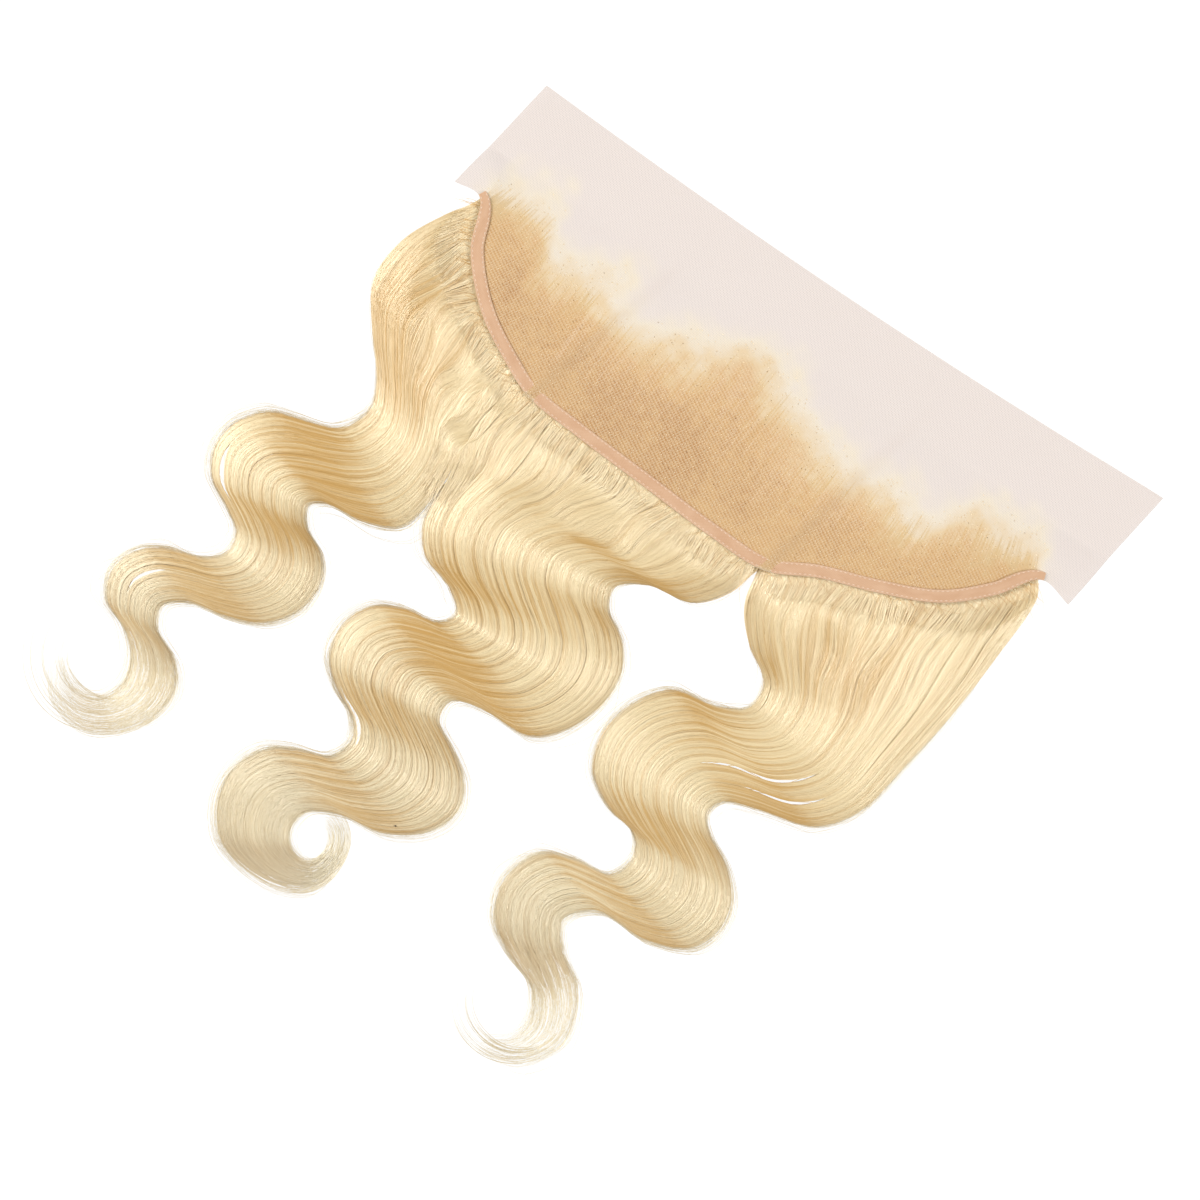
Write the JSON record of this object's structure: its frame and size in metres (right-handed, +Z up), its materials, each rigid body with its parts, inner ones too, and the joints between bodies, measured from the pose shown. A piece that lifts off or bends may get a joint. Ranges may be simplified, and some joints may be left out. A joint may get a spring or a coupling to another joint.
{
  "type": "lace frontal",
  "caption": "Lace frontal hairpiece lying flat: sheer lace sheet with a plain front margin, woven tape along its curved back edge and three long waved locks of blonde hair.",
  "frame": {"origin": "middle of the footprint, on the surface that the frontal lies on", "axes": "+X from ear to ear, towards the wearer's right-hand end of the tape as seen from above; +Y towards the front edge of the lace; +Z up, out of the side that faces the scalp"},
  "size_m": [0.405, 0.4064, 0.0127],
  "materials": {
    "lace": "sheer fine net, matt, pinkish grey",
    "tape": "woven tape, matt, pink beige",
    "hair": "silky blonde strands with satin bands across the waves"
  },
  "bodies": {
    "root": {"lace_base": "lace", "back_tape": "tape", "hair_left": "hair", "hair_middle": "hair", "hair_right": "hair"}
  },
  "joints": []
}
